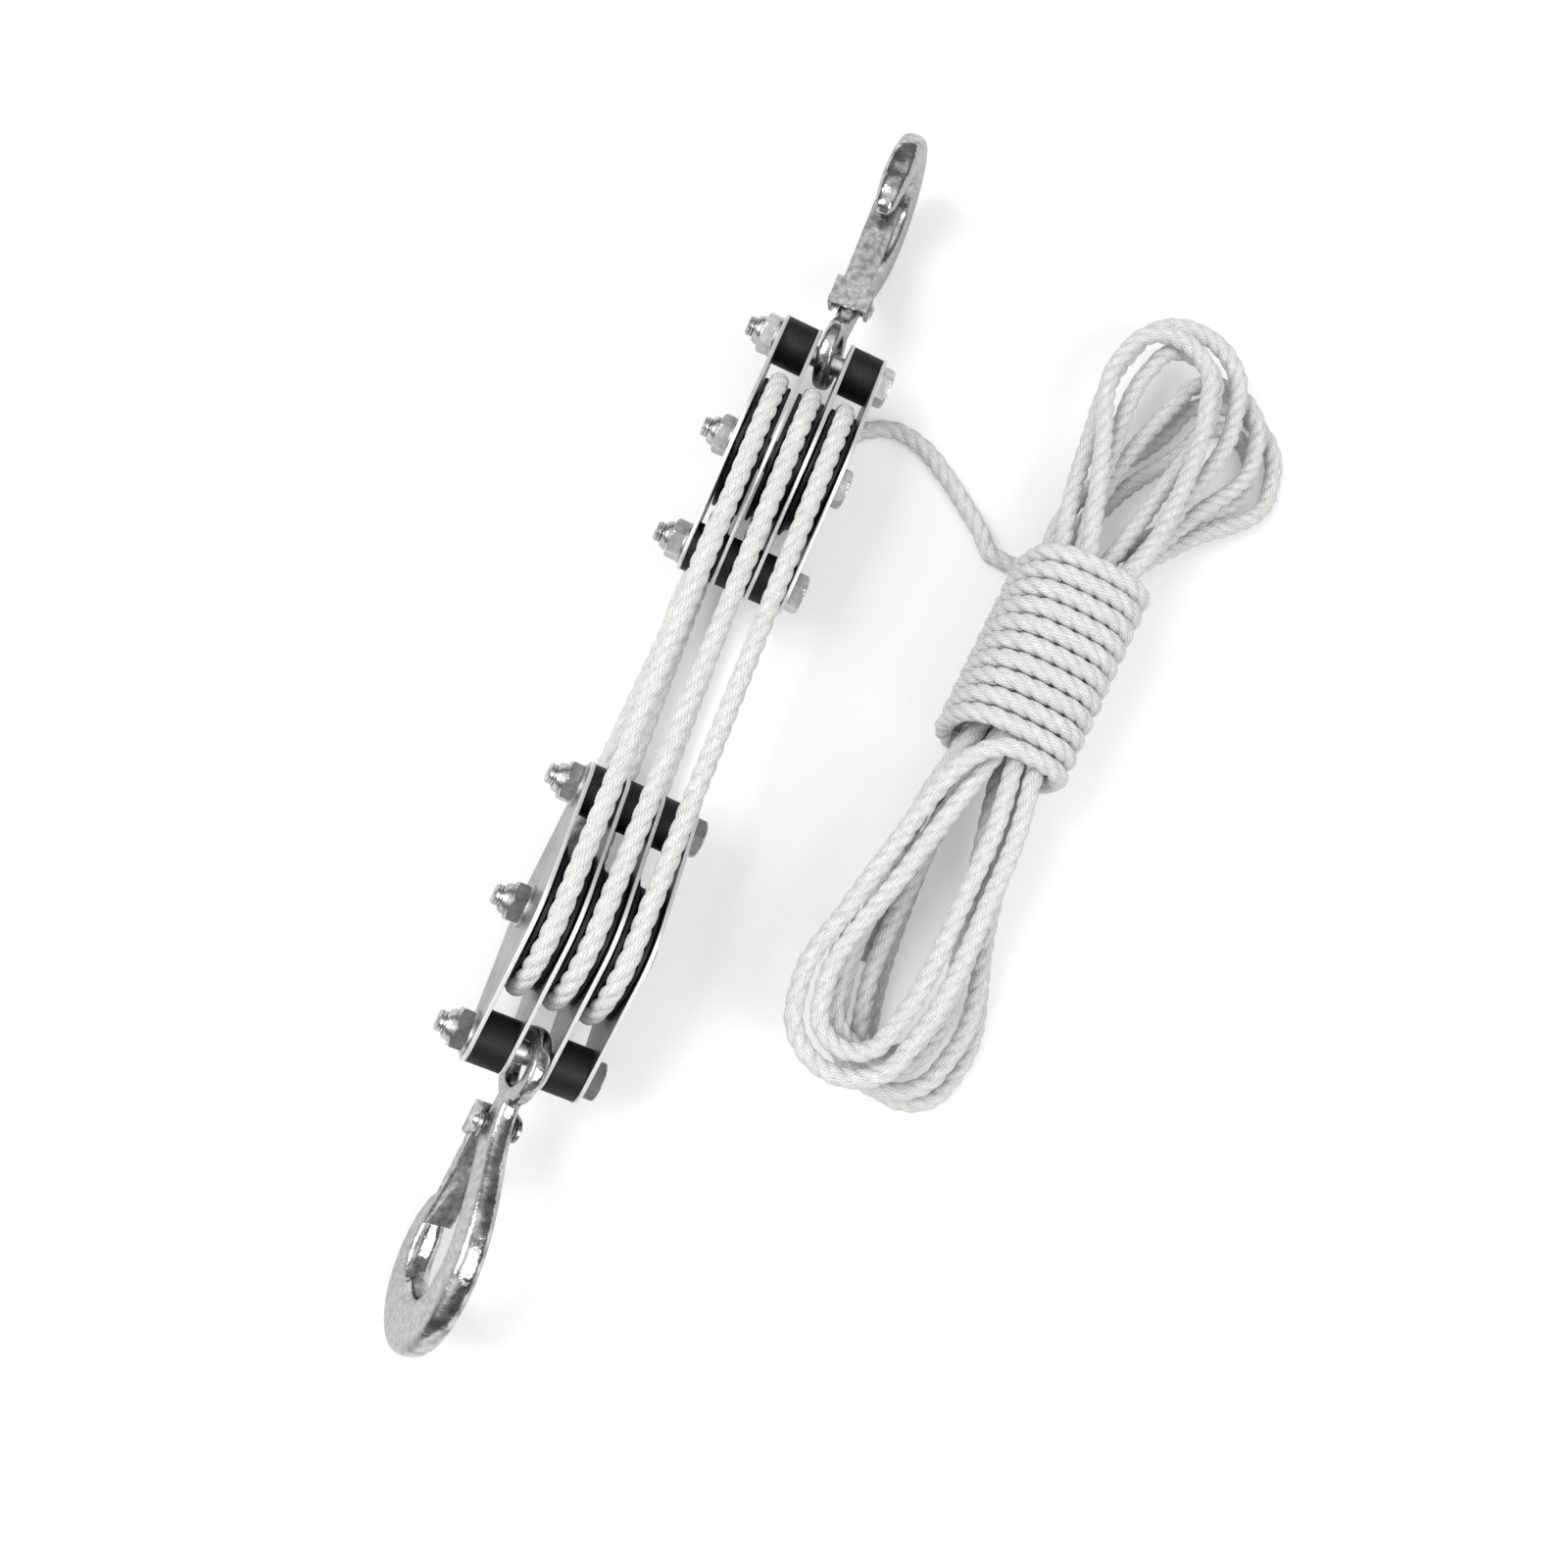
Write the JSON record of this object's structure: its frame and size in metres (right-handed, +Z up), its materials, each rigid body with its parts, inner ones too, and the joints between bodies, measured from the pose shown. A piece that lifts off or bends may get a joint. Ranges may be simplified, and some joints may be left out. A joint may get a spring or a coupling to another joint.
{
  "type": "pulley hoist",
  "caption": "Rope tackle hoist: steel plate blocks with rows of sheaves and latched swinging hooks, reeved with white twisted rope, the spare rope wrapped in a hank.",
  "frame": {"origin": "on the surface the hoist lies on, under the middle of the tackle's box without the free rope", "axes": "+Y along the tackle from the lower block to the upper block, +Z up from the surface, +X along the bolts towards their heads and towards the hank"},
  "size_m": [0.2976, 0.6242, 0.0796],
  "materials": {
    "zinc_plate": "satin, bright zinc plated pressed steel",
    "zinc_bolt": "satin, zinc plated fasteners",
    "black_plastic": "matt moulded black plastic",
    "black_nylon": "half-gloss moulded black nylon",
    "forged_hook": "bright galvanised forging, mottled flats and dark polished edges",
    "zinc_latch": "satin, zinc plated stamped sheet",
    "spring_steel": "dull drawn wire",
    "white_rope": "twisted white polyester rope"
  },
  "bodies": {
    "upper_block": {"upper_outer_plate_left": "zinc_plate", "upper_inner_plate_left": "zinc_plate", "upper_inner_plate_right": "zinc_plate", "upper_outer_plate_right": "zinc_plate", "upper_hook_end_spacers": "black_plastic", "upper_rope_end_spacers": "black_plastic", "upper_bolts": "zinc_bolt", "upper_washers": "zinc_bolt", "upper_nuts": "zinc_bolt", "upper_axle_sleeves": "zinc_bolt", "rope_dead_end": "white_rope", "rope_upper_bends": "white_rope", "rope_front_falls": "white_rope", "rope_back_falls": "white_rope", "rope_tail": "white_rope", "rope_wrap": "white_rope", "rope_hank": "white_rope"},
    "lower_block": {"lower_outer_plate_left": "zinc_plate", "lower_inner_plate_left": "zinc_plate", "lower_inner_plate_right": "zinc_plate", "lower_outer_plate_right": "zinc_plate", "lower_hook_end_spacers": "black_plastic", "lower_rope_end_spacers": "black_plastic", "lower_bolts": "zinc_bolt", "lower_washers": "zinc_bolt", "lower_nuts": "zinc_bolt", "lower_axle_sleeves": "zinc_bolt", "rope_lower_bends": "white_rope"},
    "upper_sheave_left": {"upper_sheave_left": "black_nylon"},
    "upper_sheave_middle": {"upper_sheave_middle": "black_nylon"},
    "upper_sheave_right": {"upper_sheave_right": "black_nylon"},
    "upper_hook": {"upper_hook": "forged_hook", "upper_latch_pin": "zinc_bolt", "upper_latch_spring": "spring_steel"},
    "upper_latch": {"upper_latch": "zinc_latch"},
    "lower_sheave_left": {"lower_sheave_left": "black_nylon"},
    "lower_sheave_middle": {"lower_sheave_middle": "black_nylon"},
    "lower_sheave_right": {"lower_sheave_right": "black_nylon"},
    "lower_hook": {"lower_hook": "forged_hook", "lower_latch_pin": "zinc_bolt", "lower_latch_spring": "spring_steel"},
    "lower_latch": {"lower_latch": "zinc_latch"}
  },
  "joints": [
    {"name": "block_travel", "type": "slide", "parent": "upper_block", "child": "lower_block", "axis": [0, 1, 0], "range_m": [-1.2, 0.09], "deforming": ["rope_front_falls", "rope_back_falls"]},
    {"name": "upper_sheave_left_spin", "type": "hinge", "parent": "upper_block", "child": "upper_sheave_left", "pos_m": [-0.0127, 0.1215, 0.0375], "axis": [1, 0, 0], "continuous": true},
    {"name": "upper_sheave_middle_spin", "type": "hinge", "parent": "upper_block", "child": "upper_sheave_middle", "pos_m": [0.0046, 0.1215, 0.0375], "axis": [1, 0, 0], "continuous": true},
    {"name": "upper_sheave_right_spin", "type": "hinge", "parent": "upper_block", "child": "upper_sheave_right", "pos_m": [0.0219, 0.1215, 0.0375], "axis": [1, 0, 0], "continuous": true},
    {"name": "lower_sheave_left_spin", "type": "hinge", "parent": "lower_block", "child": "lower_sheave_left", "pos_m": [-0.01249, -0.1215, 0.04251], "axis": [0.9877, 0, -0.1564], "continuous": true},
    {"name": "lower_sheave_middle_spin", "type": "hinge", "parent": "lower_block", "child": "lower_sheave_middle", "pos_m": [0.0046, -0.1215, 0.0398], "axis": [0.9877, 0, -0.1564], "continuous": true},
    {"name": "lower_sheave_right_spin", "type": "hinge", "parent": "lower_block", "child": "lower_sheave_right", "pos_m": [0.02169, -0.1215, 0.0371], "axis": [0.9877, 0, -0.1564], "continuous": true},
    {"name": "upper_hook_swing", "type": "hinge", "parent": "upper_block", "child": "upper_hook", "pos_m": [0.0046, 0.1795, 0.0375], "axis": [1, 0, 0], "range_deg": [-80, 80]},
    {"name": "upper_latch_open", "type": "hinge", "parent": "upper_hook", "child": "upper_latch", "pos_m": [0.00418, 0.21255, 0.03834], "axis": [0.9781, 0.007, 0.2078], "range_deg": [-28, 0], "stiffness_Nm_per_rad": 0.1, "springref_deg": 20.05, "deforming": ["upper_latch_spring"]},
    {"name": "lower_hook_swing", "type": "hinge", "parent": "lower_block", "child": "lower_hook", "pos_m": [0.0046, -0.1795, 0.0398], "axis": [0.9877, 0, -0.1564], "range_deg": [-80, 80]},
    {"name": "lower_latch_open", "type": "hinge", "parent": "lower_hook", "child": "lower_latch", "pos_m": [0.00329, -0.21212, 0.0346], "axis": [0.9207, 0.0251, -0.3894], "range_deg": [-28, 0], "stiffness_Nm_per_rad": 0.1, "springref_deg": 20.05, "deforming": ["lower_latch_spring"]}
  ],
  "couplings": [
    {"joint": "upper_sheave_left_spin", "follows": "block_travel", "rad_per_m": -61.069},
    {"joint": "upper_sheave_middle_spin", "follows": "block_travel", "rad_per_m": -122.14},
    {"joint": "upper_sheave_right_spin", "follows": "block_travel", "rad_per_m": -183.21},
    {"joint": "lower_sheave_left_spin", "follows": "block_travel", "rad_per_m": -30.534},
    {"joint": "lower_sheave_middle_spin", "follows": "block_travel", "rad_per_m": -91.603},
    {"joint": "lower_sheave_right_spin", "follows": "block_travel", "rad_per_m": -152.67}
  ]
}
